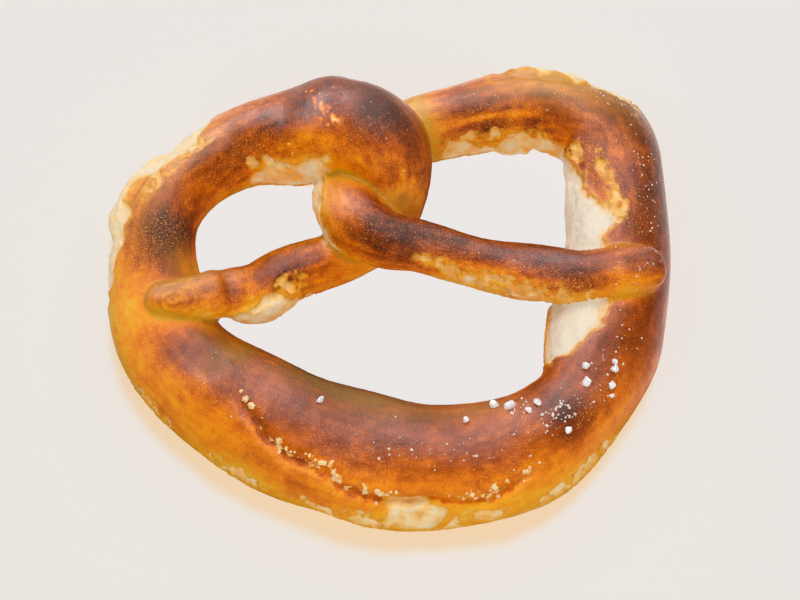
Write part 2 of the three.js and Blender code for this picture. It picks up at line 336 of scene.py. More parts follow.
# tears: where the crust broke off around the pale crumb. Each has stations of distance along the rope,
# and the angles between which it is open there
tears = {  # warmth of the crumb, then the stations: along, angle from and to
    "loop": [
        (0.65, [(4, 150, 215), (8, 150, 215), (13, 147, 215), (17, 144, 215), (21, 138, 215), (26, 149, 215),
                (31, 160, 212), (36, 176, 200)]),
        (0.3, [(38, -30, 18), (41, -33, 42), (45, -35, 58), (50, -35, 73), (56, -35, 74), (61, -35, 63),
                (65, -35, 48), (69, -35, 46), (74, -35, 60), (78, -35, 50), (81, -35, 55), (84, -35, 40),
                (90, -35, 32), (96, -30, 0)]),
        (0.5, [(186, 24, 42), (190, 8, 44), (195, -6, 42), (200, -14, 38), (204, -10, 14)]),
        (0.65, [(206, 13, 24), (210, 8, 30), (214, 14, 24)]),
        (0.0, [(252, 150, 186), (255, 126, 178), (260, 111, 175), (266, 101, 176), (272, 95, 182),
               (283, 94, 235), (293, 108, 235), (298, 94, 235), (303, 110, 235), (309, 128, 235),
               (318, 141, 232), (327, 160, 228), (338, 170, 226)]),
        (0.6, [(330, 166, 226), (338, 158, 226), (344, 160, 226), (350, 151, 224), (354, 160, 224),
                (358, 147, 222), (364, 152, 222), (368, 178, 218), (373, 176, 216), (377, 148, 216),
                (382, 150, 212), (386, 168, 205)]),
        (0.35, [(333, 14, 34), (338, -20, 47), (344, -25, 52), (350, -25, 47), (354, -25, 51), (358, -25, 42),
                (362, -20, 30), (367, -10, 12)]),
    ],
    "leftArm": [
        (0.5, [(72, 192, 215), (77, 176, 222), (81, 166, 226), (84, 160, 226), (87, 150, 226), (89, 126, 226),
               (93, 122, 226), (96, 140, 226), (98, 152, 226), (102, 164, 220), (106, 184, 205)]),
    ],
    "rightArm": [
        (0.6, [(-7, -60, 76), (-3, -60, 68), (1, -60, 60), (4, -60, 50), (8, -55, 32), (11, -50, 17),
               (14, -45, -4)]),
        (1, [(60, -34, 10), (64, -34, 30), (69, -34, 28), (74, -34, 10)]),
    ],
}
flaking = {  # where the crust flaked off in bits: along, angle, half length, half width in millimetres, how much
    "loop": [(120, 6, 8, 5, 3.3), (146, 8, 10, 5, 3.3), (174, 12, 11, 5, 3.2), (186, 14, 5, 5, 3),
             (318, 108, 8, 3, 1.3), (309, 97, 9, 4, 1.45), (300, 92, 5, 4, 1.5), (229, 14, 8, 5, 2.8),
             (238, 2, 8, 5, 2.8), (27, 140, 8, 3, 2.4), (372, 150, 8, 3, 2.6), (354, 154, 9, 3, 2),
             (322, 138, 12, 3, 2.4), (56, 72, 16, 4, 2.4)],
    "leftArm": [(84, 128, 9, 4, 2.4)],
    "rightArm": [(48, 28, 7, 4, 2.7), (64, 24, 12, 5, 2.9), (36, 46, 7, 2.5, 2.7), (80, 20, 6, 4, 2.4)],
}
flakeLook = {"size": 2.8, "swing": 2.6, "cover": 2.6, "edge": (0.3, 1.2), "outside": 12, "most": 1.5,
             "warm": 0.6, "armWarm": 1.0}
tearLook = {"wander": 1.6, "ragged": 0.9, "fray": 0.5, "near": 6, "warm": 0.4, "warmNear": 4, "warmSwing": 0.9,
            "depth": 0.75, "edge": (-0.3, 0.5), "rim": 0.18, "rimAt": -0.75, "rimWidth": 0.8,
            "fold": 0.4, "grain": 0.2}
bridge = {"along": (197.5, 199.5, 201.5, 205.5), "angles": (0, 14, 30, 44), "middle": 22, "halfAngle": 28,
          "halfWidth": 1.5, "inside": 0.2}


def tearField(name, along, angle, radius):  # millimetres inside the nearest tear, and how warm its crumb is
    field, warm = np.full(len(along), -20.0), np.full(len(along), tearLook["warm"])
    for warmth, stations in tears[name]:
        at, low, high = np.array(stations, float).T
        lowest, highest = np.interp(along, at, low), np.interp(along, at, high)
        off = np.abs(turnedTo(angle, (lowest + highest) / 2))
        inAngle = np.radians((highest - lowest) / 2 - off) * radius
        inLength = np.minimum(along - at[0], at[-1] - along)
        inside = np.minimum(inAngle, inLength)
        warm = np.where((inside > field) & (inside > -tearLook["warmNear"]), warmth, warm)
        field = np.maximum(field, inside)
    return field, warm


torn, warm = np.zeros(len(places)), np.zeros(len(places))
for name in strands:
    on = strandOf == name
    torn[on], warm[on] = tearField(name, along[on], angle[on], radius[on])
    flaky = np.zeros(on.sum())
    for at, middle, halfLength, halfWidth, amount in flaking[name]:
        off = np.radians(turnedTo(angle[on], middle)) * radius[on]
        flaky += amount * np.exp(-((along[on] - at) / halfLength) ** 4 - (off / halfWidth) ** 2)
    beyond = 1 - smoothstep(flaky, *flakeLook["edge"])
    flaky += flakeLook["swing"] * lumps(places[on], flakeLook["size"] * mm, 41, 3)
    flaky -= flakeLook["cover"] + flakeLook["outside"] * beyond
    flakeWarm = flakeLook["warm"] if name == "loop" else flakeLook["armWarm"]
    warm[on] = np.where(flaky > torn[on], flakeWarm, warm[on])
    torn[on] = np.maximum(torn[on], np.minimum(flaky, flakeLook["most"]))
near = torn > -tearLook["near"]
wander = lumps(places[near], 5 * mm, 1)
ragged = lumps(places[near], 2 * mm, 2)
fray = lumps(places[near], 1 * mm, 3)
torn[near] += tearLook["wander"] * wander + tearLook["ragged"] * ragged + tearLook["fray"] * fray

# a strip of crust still bridges the tear in the belly
onLoop = strandOf == "loop"
strip = np.abs(along - np.interp(angle, bridge["angles"], bridge["along"]))
onBridge = onLoop & (strip < bridge["halfWidth"])
onBridge &= np.abs(turnedTo(angle, bridge["middle"])) < bridge["halfAngle"]
torn = np.where(onBridge, np.minimum(torn, strip - bridge["halfWidth"] - bridge["inside"]), torn)
print("tears opened")

normals = vertexNormals(dough)
warm *= 1 + tearLook["warmSwing"] * lumps(places, 4 * mm, 43, 2)
inTear = smoothstep(torn, *tearLook["edge"])
height = -tearLook["depth"] * inTear + tearLook["rim"] * ridge(torn - tearLook["rimAt"], tearLook["rimWidth"])
deep = torn > -0.5
height[deep] += inTear[deep] * tearLook["fold"] * lumps(places[deep], 4 * mm, 4, 2)
height[deep] += inTear[deep] * tearLook["grain"] * lumps(places[deep], 1.1 * mm, 5)

# the cut along the belly: a thin upper lip over a fine groove, with clusters of crumbs
cutLook = {"wander": 0.9, "ragged": 0.7, "lip": 0.25, "lipAt": 1.0, "lipWidth": 1.1,
           "groove": 0.7, "grooveAt": -0.4, "grooveWidth": 0.8}
cutCrumbs = {
    "clusters": [(141, 3), (157, 4), (166, 3), (173, 4), (181, 2.5), (187, 3), (207, 3), (213, 4), (220, 3)],
    "cluster": 0.7, "swing": 1.3, "cover": 0.52, "fall": 0.35, "at": 0.9, "height": 0.3,
}
cutGap = np.radians(turnedTo(angle, cutAngle(along))) * radius
cutGap += cutLook["wander"] * lumps(places, 4 * mm, 6) + cutLook["ragged"] * lumps(places, 1.6 * mm, 16)
cutShare = np.where(onLoop, cutFade(along), 0)
height += cutShare * cutLook["lip"] * ridge(cutGap - cutLook["lipAt"], cutLook["lipWidth"])
height -= cutShare * cutLook["groove"] * ridge(cutGap - cutLook["grooveAt"], cutLook["grooveWidth"])
clustered = sum(np.exp(-((along - at) / reach) ** 2) for at, reach in cutCrumbs["clusters"])
crumbly = cutCrumbs["cluster"] * clustered + cutCrumbs["swing"] * lumps(places, 1.7 * mm, 12, 2)
crumbly -= cutCrumbs["cover"] + cutCrumbs["fall"] * np.abs(cutGap - cutCrumbs["at"])
crumbly = np.where(cutShare > 0.3, crumbly, -3)
height += cutCrumbs["height"] * smoothstep(crumbly, -0.1, 0.5) * (0.6 + lumps(places, 0.9 * mm, 17))

# wrinkles in the crust, strongest where strands meet
wrinkle = {"everywhere": 0.07, "atSeams": 0.1}
crust = 1 - inTear
height += crust * wrinkle["everywhere"] * lumps(places, 2.4 * mm, 7, 2)
height += crust * closeness * wrinkle["atSeams"] * lumps(places, 1.6 * mm, 8)

# the left arm's end: a whorl of fine rings
whorl = {"along": 115.4, "angle": 105, "squeeze": 1.15, "rings": 1.9, "wander": 0.5, "fade": (4, 8.5), "height": 0.2}
onLeftArm = strandOf == "leftArm"
across = whorl["squeeze"] * np.radians(turnedTo(angle, whorl["angle"])) * radius
whorlGap = np.hypot(along - whorl["along"], across)
rings = np.cos(2 * math.pi * (whorlGap + whorl["wander"] * lumps(places, 5 * mm, 9)) / whorl["rings"])
height += np.where(onLeftArm, whorl["height"] * rings * (1 - smoothstep(whorlGap, *whorl["fade"])), 0)

# blisters of the crust: strand, along, angle and size
blisterHeight = 0.28
blisters = [("loop", 80, 111, 1.4), ("loop", 88, 90, 1.2), ("loop", 83, 93, 1.1), ("loop", 77, 96, 0.9),
            ("loop", 91, 82, 0.9), ("loop", 86, 101, 0.8), ("loop", 74, 104, 0.8), ("loop", 93, 97, 1.0),
            ("loop", 129, 40, 1.4), ("leftArm", 95, 112, 1.3)]
for name, at, middle, size in blisters:
    gap = np.hypot(along - at, np.radians(turnedTo(angle, middle)) * radius) / size
    height += np.where(strandOf == name, blisterHeight * (1 - smoothstep(gap, 0.3, 1)), 0)

places = places + normals * (height * mm)[:, None]
underside = places[:, 2] < 0.3 * mm
places[underside, 2] = np.maximum(places[underside, 2], 0) * 0.999
placeVertices(dough, places)
print("relief laid on")


# how deeply each place baked, with painted shade in the cut's groove and in the left arm's crease: 0 pale, 1 darkest
bakeAcross = {  # by angle round the rope
    "loop": [(-90, 0.12), (-25, 0.2), (0, 0.28), (15, 0.35), (30, 0.42), (45, 0.44), (60, 0.47), (75, 0.52),
             (90, 0.6), (105, 0.62), (135, 0.6), (150, 0.57), (165, 0.45), (180, 0.32), (210, 0.25), (270, 0.1)],
    "leftArm": [(-90, 0.15), (-15, 0.3), (0, 0.4), (30, 0.52), (60, 0.56), (75, 0.62), (90, 0.62), (105, 0.6),
                (120, 0.54), (135, 0.42), (165, 0.34), (200, 0.3), (270, 0.15)],
    "rightArm": [(-90, 0.1), (-15, 0.25), (0, 0.33), (30, 0.48), (60, 0.6), (75, 0.64), (90, 0.72), (120, 0.74),
                 (150, 0.66), (165, 0.65), (200, 0.5), (270, 0.15)],
}
bakeAndShadeSpots = {  # along, angle, half length, half width in millimetres, how much darker
    "loop": [
        (2, 42, 16, 10, 0.4), (14, 88, 12, 6, 0.22), (28, 72, 14, 7, 0.07), (18, 158, 14, 6, -0.3),
        (8, 120, 10, 6, -0.15), (36, 125, 10, 5, 0.06), (46, 104, 9, 8, 0.18), (60, 66, 22, 9, -0.12),
        (78, 110, 11, 11, 0.4), (72, 150, 12, 6, 0.1), (90, 152, 7, 7, -0.22), (98, 34, 13, 14, -0.26),
        (108, 104, 6, 8, -0.24), (112, 125, 8, 6, -0.12), (117, 84, 6, 6, 0.12), (124, 112, 11, 8, 0.2),
        (132, 98, 8, 6, 0.12), (128, 60, 16, 7, -0.1), (165, 152, 32, 8, 0.34), (178, 112, 30, 8, 0.07),
        (168, 57, 9, 3, -0.14), (147, 46, 10, 5, 0.12), (146, 20, 10, 5, -0.1), (150, 28, 14, 8, -0.1),
        (167, 32, 9, 6, 0.1), (200, 36, 18, 9, -0.16), (200, 88, 26, 7, 0.03), (229, 18, 16, 8, -0.15),
        (236, 88, 7, 9, 0.36),
        (276, 33, 22, 14, 0.3), (257, 88, 14, 7, 0.15), (266, 105, 8, 5, -0.14), (310, 57, 26, 12, 0.24),
        (316, 28, 24, 8, 0.3), (305, 108, 16, 8, -0.14), (332, 46, 8, 5, 0.2), (345, 95, 10, 5, 0.05),
        (362, 106, 14, 5, 0.03), (340, 135, 10, 5, -0.06), (358, 165, 16, 5, -0.15), (372, 88, 9, 6, 0.18),
        (380, 70, 9, 8, 0.08), (387, 118, 8, 14, -0.26), (390, 88, 4, 9, -0.2), (372, 118, 8, 1.3, -0.3),
        (358, 121, 8, 1.3, -0.28), (372, 129, 10, 2.5, 0.18), (355, 132, 8, 2.5, 0.15),
    ],
    "leftArm": [
        (14, 124, 8, 9, 0.4), (16, 96, 9, 8, 0.22), (14, 55, 10, 8, -0.08), (30, 148, 12, 9, 0.3),
        (34, 100, 6, 9, -0.28), (24, 108, 7, 7, -0.13), (84, 80, 12, 6, 0.17), (83, 119, 8, 4, 0.17),
        # the spot at 101.5 along is painted shade in the crease pressed across the arm
        (95, 130, 5, 8, -0.3), (108, 150, 8, 6, -0.1), (114, 85, 10, 12, -0.08), (101.5, 95, 1.6, 12, 0.14),
    ],
    "rightArm": [
        (3, 80, 9, 12, -0.36), (24, 105, 9, 9, 0.11), (42, 93, 22, 5, 0.2), (26, 32, 12, 8, 0.2),
        (55, 24, 17, 6, -0.34), (50, 64, 18, 3.5, -0.1), (75, 105, 8, 4, 0.24), (80, 42, 7, 6, 0.16),
        (95, 42, 8, 6, -0.14), (88, 88, 9, 6, -0.1), (106, 20, 6, 12, 0.2), (80, -10, 12, 6, -0.15),
    ],
}
oliveSpots = {  # tinged with olive
    "loop": [
        (350, 58, 16, 7, 1.0), (389, 100, 5, 16, 1), (58, 70, 20, 5, 0.65), (90, 148, 8, 7, 0.6),
        (116, 140, 7, 6, 0.6), (130, 132, 5, 7, 0.5), (128, 95, 3, 6, 0.15), (172, 142, 30, 6, 0.5),
        (215, 140, 14, 5, 0.3), (108, 8, 12, 5, 0.4), (148, 26, 6, 6, 0.3),
    ],
    "leftArm": [(39, 95, 4, 12, 0.8), (115, 30, 12, 7, 0.8), (22, 178, 6, 6, 0.8), (72, 38, 14, 4, 0.3)],
    "rightArm": [(0, 92, 7, 5, 0.5), (8, 20, 5, 5, 0.5), (96, 5, 12, 4, 0.3)],
}
fleckSpots = {  # dense golden flecks
    "loop": [
        (80, 108, 13, 10, 0.8), (90, 60, 10, 8, 0.5), (30, 115, 12, 5, 0.7), (14, 140, 10, 4, 0.8),
        (50, 130, 9, 5, 0.5), (318, 112, 10, 4, 1), (300, 70, 16, 6, 0.5), (345, 80, 8, 4, 0.6),
        (372, 112, 12, 4, 0.5), (243, 70, 8, 4, 0.7), (215, 60, 14, 5, 0.4), (180, 78, 14, 5, 0.4),
        (130, 55, 16, 8, 0.4), (366, 138, 8, 4, 0.6),
    ],
    "leftArm": [(32, 125, 4, 4, 1), (12, 60, 8, 5, 0.5), (85, 120, 6, 4, 0.5), (40, 60, 8, 4, 0.4)],
    "rightArm": [(16, 70, 6, 4, 0.4), (78, 52, 9, 3, 0.9), (96, 60, 8, 5, 0.5), (45, 40, 14, 4, 0.7),
                 (30, 110, 10, 4, 0.3)],
}
matteSpots = {  # where the gloss is hazy
    "loop": [(80, 100, 15, 16, 1), (110, 85, 14, 18, 0.8), (96, 45, 22, 14, 0.8), (352, 45, 16, 10, 0.3),
             (60, 55, 12, 8, 0.5), (310, 100, 22, 10, 0.7), (386, 118, 10, 10, 0.6), (250, 100, 12, 12, 0.5),
             (170, 135, 30, 9, 0.9), (215, 135, 20, 9, 0.7), (190, 25, 60, 9, 0.5)],
    "leftArm": [(16, 104, 9, 9, 0.5), (32, 110, 9, 10, 0.9), (97, 80, 8, 12, 0.5), (112, 90, 10, 12, 0.6)],
    "rightArm": [(4, 80, 8, 12, 0.5), (30, 70, 8, 6, 0.4), (60, 40, 30, 6, 0.5)],
}

streaks = {"length": 11, "width": 1.9, "deep": 0.09, "armDeep": 0.15, "blotch": 2.1 * mm, "blotchDeep": 0.08,
           "calm": 0.25}  # the crust stretched along the rope
# the cut's groove value is painted shade under the cut's lip
bakeAndShadeLook = {"cutLip": 0.1, "grooveShade": 0.4, "cut": 0.05, "slow": 0.1, "slowSize": 7 * mm,
            "seam": 0.22, "seamRings": 6, "raised": 0.3}


def spotsOn(name, spots, along, angle, radius):  # soft spots on one strand, added up
    total = np.zeros(len(along))
    for at, middle, halfLength, halfWidth, amount in spots[name]:
        off = np.radians(turnedTo(angle, middle)) * radius
        total += amount * np.exp(-((along - at) / halfLength) ** 2 - (off / halfWidth) ** 2)
    return total


bake, matte, olive, flecked, lively = (np.zeros(len(places)) for _ in range(5))
for name in strands:
    on = strandOf == name
    wrapped = (angle[on] + 90) % 360 - 90
    bake[on] = np.interp(wrapped, *zip(*bakeAcross[name]))
    for values, spots in ((bake, bakeAndShadeSpots), (matte, matteSpots), (olive, oliveSpots), (flecked, fleckSpots)):
        values[on] += spotsOn(name, spots, along[on], angle[on], radius[on])
    lively[on] = 1  # the arms and the two lobes bake less evenly than the belly
    if name == "loop":
        lively[on] = 1 - smoothstep(along[on], 40, 110) * (1 - smoothstep(along[on], 290, 320))
    flow = np.c_[along[on] / streaks["length"], np.radians(wrapped) * radius[on] / streaks["width"], wrapped / 40]
    deep = streaks["deep"] + lively[on] * (streaks["armDeep"] - streaks["deep"])
    bake[on] += deep * lumps(flow, 1, 21 + len(name), 3)
    deep = streaks["blotchDeep"] * (streaks["calm"] + (1 - streaks["calm"]) * lively[on])
    bake[on] += deep * lumps(places[on], streaks["blotch"], 31, 2)
# the upper side of the cut a little darker, and painted shade in the groove under its lip
lipDarkGrooveShade = bakeAndShadeLook["cutLip"] * smoothstep(cutGap, -0.4, 0.8) + bakeAndShadeLook["grooveShade"] * ridge(cutGap + 0.5, 1.1)
bake += cutShare * (lipDarkGrooveShade - bakeAndShadeLook["cut"])
matte += cutShare * ridge(cutGap + 1, 3)
bake += bakeAndShadeLook["slow"] * lumps(places, bakeAndShadeLook["slowSize"], 11, 2)
bake -= bakeAndShadeLook["seam"] * closeness
bake += crust * bakeAndShadeLook["raised"] * height

# a pale crack runs across the knob: strand, its points by along and angle, and width
crackLook = {"wander": 1.2, "pale": 0.75, "width": 0.95}
crackLines = [("loop", [(7, 58), (5.3, 69), (4.5, 90), (3, 112)], 1.1), ("loop", [(3.2, 84), (0.8, 108)], 0.8),
              ("leftArm", [(10.5, 66), (12, 60), (14, 42)], 0.7), ("loop", [(11, 118), (13, 140)], 0.5)]
broken = smoothstep(lumps(places, 1.4 * mm, 18, 2), -0.3, 0.25)
wander = crackLook["wander"] * lumps(places, 3.5 * mm, 13, 2)
for name, line, width in crackLines:
    lineAlong, lineAngle = np.array(line, float).T
    order = lineAngle.argsort()
    off = along - np.interp(angle, lineAngle[order], lineAlong[order]) + wander
    inside = (strandOf == name) & (angle > lineAngle.min()) & (angle < lineAngle.max())
    bake -= np.where(inside, crackLook["pale"] * ridge(off, crackLook["width"] * width) * broken, 0)

# soften the bake where one strand gives way to another
edges = np.empty(2 * len(dough.data.edges), int)
dough.data.edges.foreach_get("vertices", edges)
edges = edges.reshape(-1, 2)
ends = np.r_[edges[:, 0], edges[:, 1]]
farEnds = np.r_[edges[:, 1], edges[:, 0]]
count = np.bincount(ends, minlength=len(bake))
seam = np.bincount(ends, strandOf[ends] != strandOf[farEnds], len(bake)) > 0
for _ in range(bakeAndShadeLook["seamRings"]):
    seam |= np.bincount(ends, seam[farEnds], len(bake)) > 0
for _ in range(4 * bakeAndShadeLook["seamRings"]):
    bake[seam] = (np.bincount(ends, bake[farEnds], len(bake)) / np.maximum(count, 1))[seam]

# the right arm's end sank in, so its seam shows little
sunkEnd = {"from": 84, "shows": 0.35}
seamShows = np.where((strandOf == "rightArm") & (along > sunkEnd["from"]), sunkEnd["shows"], 1)
crustLayers = {"bake": bake, "torn": torn, "crease": np.maximum(seamShows * closeness, olive), "warm": warm,
               "matte": matte, "flecked": flecked, "lively": lively, "crumb": crumbly}
for name, values in crustLayers.items():
    storeOnVertices(dough, name, values)
print("baked: vertices", len(places))

triangles = 2 * len(dough.data.polygons)
if triangles > rope["faceLimit"]:
    applyModifier(dough, "DECIMATE", ratio=rope["faceLimit"] / triangles)
pickOnly(dough)
bpy.ops.object.shade_smooth()
print("crust faces:", len(dough.data.polygons))


# materials

def newMaterial(name):
    material = bpy.data.materials.new(name)
    material.use_nodes = True
    return material, material.node_tree, material.node_tree.nodes["Principled BSDF"]


def addNode(tree, kind, **settings):
    node = tree.nodes.new(kind)
    for key, value in settings.items():
        if key in node.inputs:
            node.inputs[key].default_value = value
        else:
            setattr(node, key, value)
    return node


def feed(tree, socket, value):  # with a number, a colour or another node's output
    if isinstance(value, tuple):
        socket.default_value = (*value, 1)
    elif isinstance(value, (int, float)):
        socket.default_value = value
    else:
        tree.links.new(value, socket)


def calculate(tree, operation, *values):
    node = addNode(tree, "ShaderNodeMath", operation=operation)
    for socket, value in zip(node.inputs, values):
        feed(tree, socket, value)
    return node.outputs[0]


def multiplyAdd(tree, value, factor, more):
    return calculate(tree, "MULTIPLY_ADD", value, factor, more)


def remap(tree, value, fromRange, toHigh=1.0):  # 0 below the range, toHigh above it
    node = addNode(tree, "ShaderNodeMapRange", interpolation_type="SMOOTHSTEP")
    for key, each in (("Value", value), ("From Min", fromRange[0]), ("From Max", fromRange[1]), ("To Max", toHigh)):
        feed(tree, node.inputs[key], each)
    return node.outputs["Result"]


def mixed(tree, kind, share, first, second):  # kind is FLOAT or RGBA
    node = addNode(tree, "ShaderNodeMix", data_type=kind)
    firstSocket, output = (6, 2) if kind == "RGBA" else (2, 0)
    for index, value in ((0, share), (firstSocket, first), (firstSocket + 1, second)):
        feed(tree, node.inputs[index], value)
    return node.outputs[output]


def colourRamp(tree, value, stops):
    node = addNode(tree, "ShaderNodeValToRGB")
    elements = node.color_ramp.elements
    while len(elements) < len(stops):
        elements.new(0.5)
    for element, (position, colour) in zip(elements, stops):
        element.position = position
        element.color = (*colour, 1)
    feed(tree, node.inputs["Fac"], value)
    return node.outputs["Color"]


def objectCoords(tree):
    return addNode(tree, "ShaderNodeTexCoord").outputs["Object"]


def grainNoise(tree, coords, size, detail, roughness):
    node = addNode(tree, "ShaderNodeTexNoise", Scale=1 / size, Detail=detail, Roughness=roughness)
    feed(tree, node.inputs["Vector"], coords)
    return node.outputs["Fac"]


def addBump(tree, shader, height, strength, distance):
    bump = addNode(tree, "ShaderNodeBump", Strength=strength, Distance=distance)
    feed(tree, bump.inputs["Height"], height)
    feed(tree, shader.inputs["Normal"], bump.outputs["Normal"])


crustLook = {
    "bakeColours": [
        (0.0, (0.88, 0.6, 0.2)), (0.16, (0.87, 0.4, 0.004)), (0.32, (0.86, 0.27, 0.002)),
        (0.46, (0.72, 0.165, 0.001)), (0.6, (0.47, 0.088, 0.001)), (0.74, (0.29, 0.048, 0.001)),
        (0.88, (0.17, 0.027, 0.001)), (1.0, (0.08, 0.014, 0.001)),
    ],
    "noises": {  # size, detail, roughness
        "patches": (9 * mm, 3, 0.55), "mottle": (2.4 * mm, 4, 0.62), "grain": (0.45 * mm, 3, 0.6),
        "fray": (0.5 * mm, 3, 0.65), "bubbles": (0.42 * mm, 2, 0.5), "sparkle": (0.36 * mm, 1, 0.5),
    },
    "patches": 0.2, "mottle": 0.34, "grain": 0.42, "lively": 0.25,
    "fleck": (0.88, 0.4, 0.04), "dense": 0.11, "fleckRange": (0.63, 0.76), "fleckMost": 0.75,
    "olive": (0.5, 0.27, 0.004), "oliveMost": 0.7,
    "thinCrust": (0.9, 0.4, 0.015), "thinRange": (-0.6, 1.6), "thinMost": 0.8,
    "unevenly": 3.0, "crumbReach": 4.0, "deepRange": (0.8, 4.2), "crumbWarm": (0.9, 0.5, 0.12),
    "crumbColours": [(0.0, (0.84, 0.74, 0.57)), (0.5, (0.93, 0.66, 0.3)), (1.0, (0.95, 0.42, 0.06))],
    "toasted": (0.7, 0.36, 0.09), "toastWarm": 0.08, "toastRange": (0.58, 0.7), "toastMost": 0.6,
    "fray": 1.1, "bareRange": (-0.12, 0.14),
    "gloss": 0.23, "glossSwing": 0.14, "matte": 0.5, "crumbRoughness": 0.85, "ior": 1.3,
    "bump": 0.8, "sparkleHeight": 0.12, "grainHeight": 0.05, "fleckHeight": 0.06, "mottleHeight": 0.17,
    "tearDepth": 0.12,
}


def bakedCrustMaterial(look):
    material, tree, shader = newMaterial("baked crust")
    coords = objectCoords(tree)
    layer = {name: addNode(tree, "ShaderNodeAttribute", attribute_name=name).outputs["Fac"] for name in crustLayers}
    noise = {name: grainNoise(tree, coords, *settings) for name, settings in look["noises"].items()}

    # crust colour: the bake with its painted shade, patchy, mottled and grained
    shade = layer["bake"]
    for name in ("patches", "mottle"):
        shade = calculate(tree, "ADD", shade, multiplyAdd(tree, noise[name], look[name], -look[name] / 2))
    grained = multiplyAdd(tree, layer["lively"], look["lively"], look["grain"])
    shade = multiplyAdd(tree, calculate(tree, "SUBTRACT", noise["grain"], 0.5), grained, shade)
    crustColour = colourRamp(tree, shade, look["bakeColours"])

    # golden flecks where tiny bubbles rose, and olive creases
    dense = multiplyAdd(tree, layer["flecked"], look["dense"], noise["bubbles"])
    fleck = remap(tree, dense, look["fleckRange"], look["fleckMost"])
    crustColour = mixed(tree, "RGBA", fleck, crustColour, look["fleck"])
    crease = calculate(tree, "MULTIPLY", layer["crease"], look["oliveMost"])
    crustColour = mixed(tree, "RGBA", crease, crustColour, look["olive"])

    # the crust thins to gold at a tear
    thin = multiplyAdd(tree, noise["mottle"], look["unevenly"], layer["torn"])
    thin = remap(tree, thin, look["thinRange"], look["thinMost"])
    crustColour = mixed(tree, "RGBA", thin, crustColour, look["thinCrust"])

    # crumb colour: warm by the edge, pale further in, toasted here and there
    crumbs = calculate(tree, "MULTIPLY", layer["crumb"], look["crumbReach"])
    deepIn = multiplyAdd(tree, noise["mottle"], look["unevenly"], calculate(tree, "MAXIMUM", layer["torn"], crumbs))
    deepIn = remap(tree, deepIn, look["deepRange"])
    crumbColour = colourRamp(tree, layer["warm"], look["crumbColours"])
    crumbColour = mixed(tree, "RGBA", deepIn, look["crumbWarm"], crumbColour)
    toast = remap(tree, multiplyAdd(tree, layer["warm"], look["toastWarm"], noise["mottle"]), look["toastRange"])
    toast = calculate(tree, "MULTIPLY", calculate(tree, "MULTIPLY", toast, layer["warm"]), look["toastMost"])
    crumbColour = mixed(tree, "RGBA", toast, crumbColour, look["toasted"])

    # where the crumb is bare, with a frayed edge
    edge = multiplyAdd(tree, noise["fray"], look["fray"], -look["fray"] / 2)
    bare = calculate(tree, "ADD", calculate(tree, "MAXIMUM", layer["torn"], layer["crumb"]), edge)
    bare = remap(tree, bare, look["bareRange"])
    feed(tree, shader.inputs["Base Color"], mixed(tree, "RGBA", bare, crustColour, crumbColour))

    # gloss: the crust shines, the crumb doesn't
    gloss = multiplyAdd(tree, noise["grain"], look["glossSwing"], look["gloss"] - look["glossSwing"] / 2)
    gloss = multiplyAdd(tree, layer["matte"], look["matte"], gloss)
    feed(tree, shader.inputs["Roughness"], mixed(tree, "FLOAT", bare, gloss, look["crumbRoughness"]))
    shader.inputs["IOR"].default_value = look["ior"]

    # fine bump: leathery grain, bubbles and a step at the torn edge
    height = calculate(tree, "MULTIPLY", noise["sparkle"], look["sparkleHeight"])
    for value, amount in ((noise["grain"], look["grainHeight"]), (fleck, look["fleckHeight"]),
                          (noise["mottle"], look["mottleHeight"]), (bare, -look["tearDepth"])):
        height = multiplyAdd(tree, value, amount, height)
    addBump(tree, shader, height, look["bump"], mm)
    return material


def dress(thing, material):
    thing.data.materials.clear()
    thing.data.materials.append(material)


dress(dough, bakedCrustMaterial(crustLook))
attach(dough, "root")
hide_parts("pretzel")
print("crust dressed")


# salt
salt = {
    "coarse": [  # x, y in the rope's layout, and size, in millimetres
        (33.8, -36.2, 3), (63.3, -25.9, 2.7), (29.2, -35.7, 2.6), (41.5, -35.7, 2.5), (55.4, -29.8, 2.5),
        (55.3, -25.2, 2.4), (62.5, -30.5, 2.3), (-19.1, -35, 2.3), (21.3, -40.6, 2.2), (50, -43.7, 2.2),
        (38.8, -38.2, 1.8), (62.5, -33.2, 1.7), (63.5, -23.6, 1.6),
    ],
    "detail": 3, "proud": 0.2, "facets": 11, "lumpy": 0.16, "seed": 7,
}
grainShape = {"stretch": [(0.95, 1.2), (0.75, 1.0), (0.7, 0.95)], "facetAt": (0.32, 0.5), "least": 0.8,
              "lump": 0.3, "dropped": 3, "mostlySmall": 2.5}
crustTree = BVHTree.FromObject(dough, bpy.context.evaluated_depsgraph_get())


def crustBelow(x, y):  # where a grain dropped at x, y in the layout comes to rest
    start = Vector((x - rope["outlineMiddle"][0], y - rope["outlineMiddle"][1], 100)) * mm
    place, normal, face, gap = crustTree.ray_cast(start, Vector((0, 0, -1)))
    return np.array(place)


def lumpyGrain(size, look, draw):  # a ball with facets cut off, stretched, made lumpy and turned
    bpy.ops.mesh.primitive_ico_sphere_add(subdivisions=look["detail"], radius=0.5, location=(0, 0, 0))
    grain = bpy.context.active_object
    stretch = np.array([draw.uniform(*limits) for limits in grainShape["stretch"]])
    corners = vertexPlaces(grain)
    facets = np.array([[draw.gauss(0, 1) for _ in range(3)] for _ in range(look["facets"])])
    facets /= np.linalg.norm(facets, axis=1)[:, None]
    towards = corners @ facets.T / np.array([draw.uniform(*grainShape["facetAt"]) for _ in facets])
    corners /= np.maximum(towards.max(1), grainShape["least"])[:, None]
    corners *= stretch * (1 + look["lumpy"] * lumps(corners, grainShape["lump"], draw.uniform(0, 50)))[:, None]
    turn = Vector([draw.uniform(0, 6) for _ in range(3)])
    spin = np.array(Euler(turn).to_matrix())
    placeVertices(grain, corners @ spin.T * size)
    return grain


def joinGrains(name, grains):
    pickOnly(*grains)
    bpy.ops.object.join()
    piece = bpy.context.active_object
    piece.name = piece.data.name = name
    print(name + ":", len(grains), "grains,", len(piece.data.polygons), "faces")
    return piece


